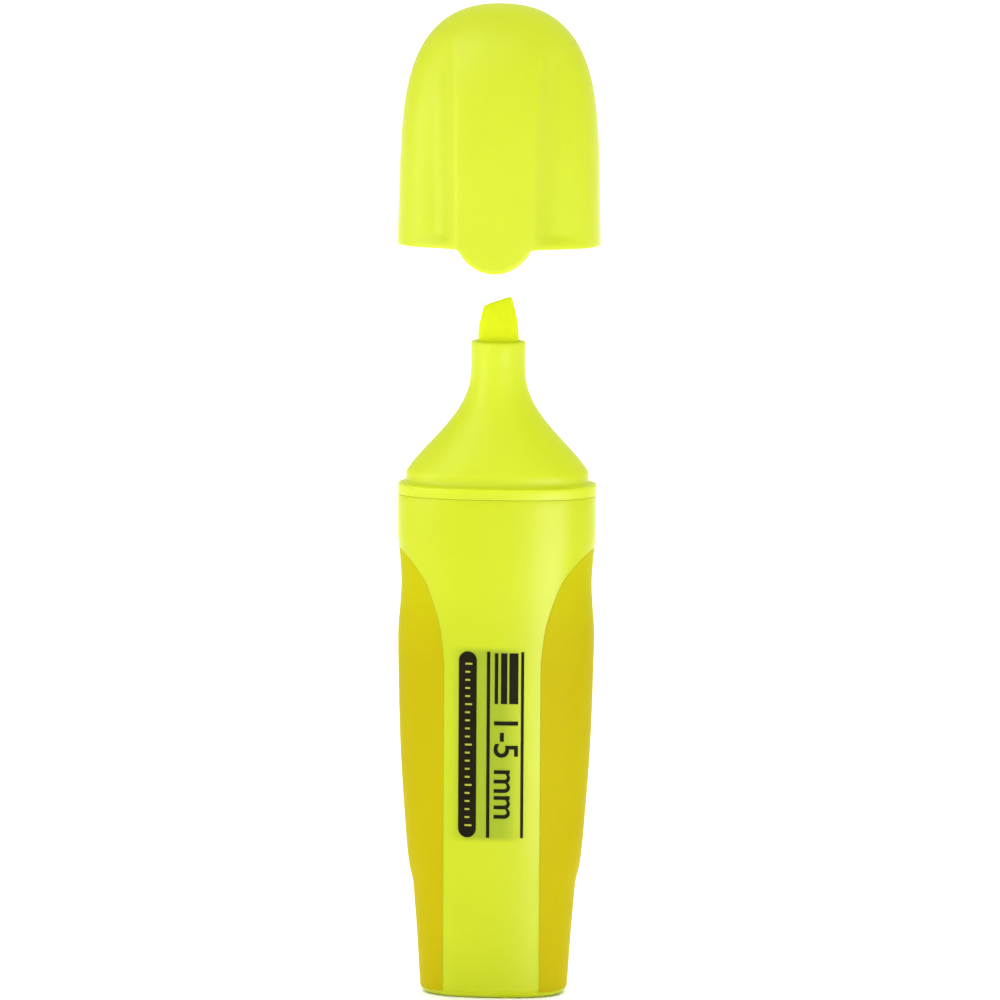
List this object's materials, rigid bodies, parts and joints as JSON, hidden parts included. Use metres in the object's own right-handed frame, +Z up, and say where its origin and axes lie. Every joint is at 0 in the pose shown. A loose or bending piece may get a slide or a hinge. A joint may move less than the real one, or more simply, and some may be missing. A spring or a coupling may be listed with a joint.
{
  "type": "capped highlighter",
  "caption": "Flat oval highlighter with a chisel nib, soft side grips, and a domed cap with a clip rib that pulls straight off.",
  "frame": {"origin": "centre of the flat foot of the barrel", "axes": "+Z up along the pen towards the nib and the cap, -Y the front with the clip rib, +X to the right seen from the front"},
  "size_m": [0.0294, 0.0206, 0.1437],
  "materials": {
    "barrel_plastic": "satin moulded fluorescent yellow, slightly translucent",
    "soft_grip": "matt mustard soft-touch rubber",
    "front_plastic": "satin moulded fluorescent yellow, slightly translucent",
    "nib_fibre": "ink-soaked felt fibre",
    "reservoir_fibre": "ink-soaked fibre",
    "reservoir_film": "thin clear film",
    "cap_plastic": "satin moulded fluorescent yellow, slightly translucent",
    "liner_plastic": "natural moulded plastic"
  },
  "bodies": {
    "pen": {"barrel": "barrel_plastic", "grip_left": "soft_grip", "grip_right": "soft_grip", "front_section": "front_plastic", "nib": "nib_fibre", "reservoir_core": "reservoir_fibre", "reservoir_wrap": "reservoir_film"},
    "cap": {"cap_shell": "cap_plastic", "cap_liner": "liner_plastic"}
  },
  "joints": [
    {"name": "cap_slide", "type": "slide", "parent": "pen", "child": "cap", "axis": [0, 0, 1], "range_m": [-0.0343, 0]}
  ]
}
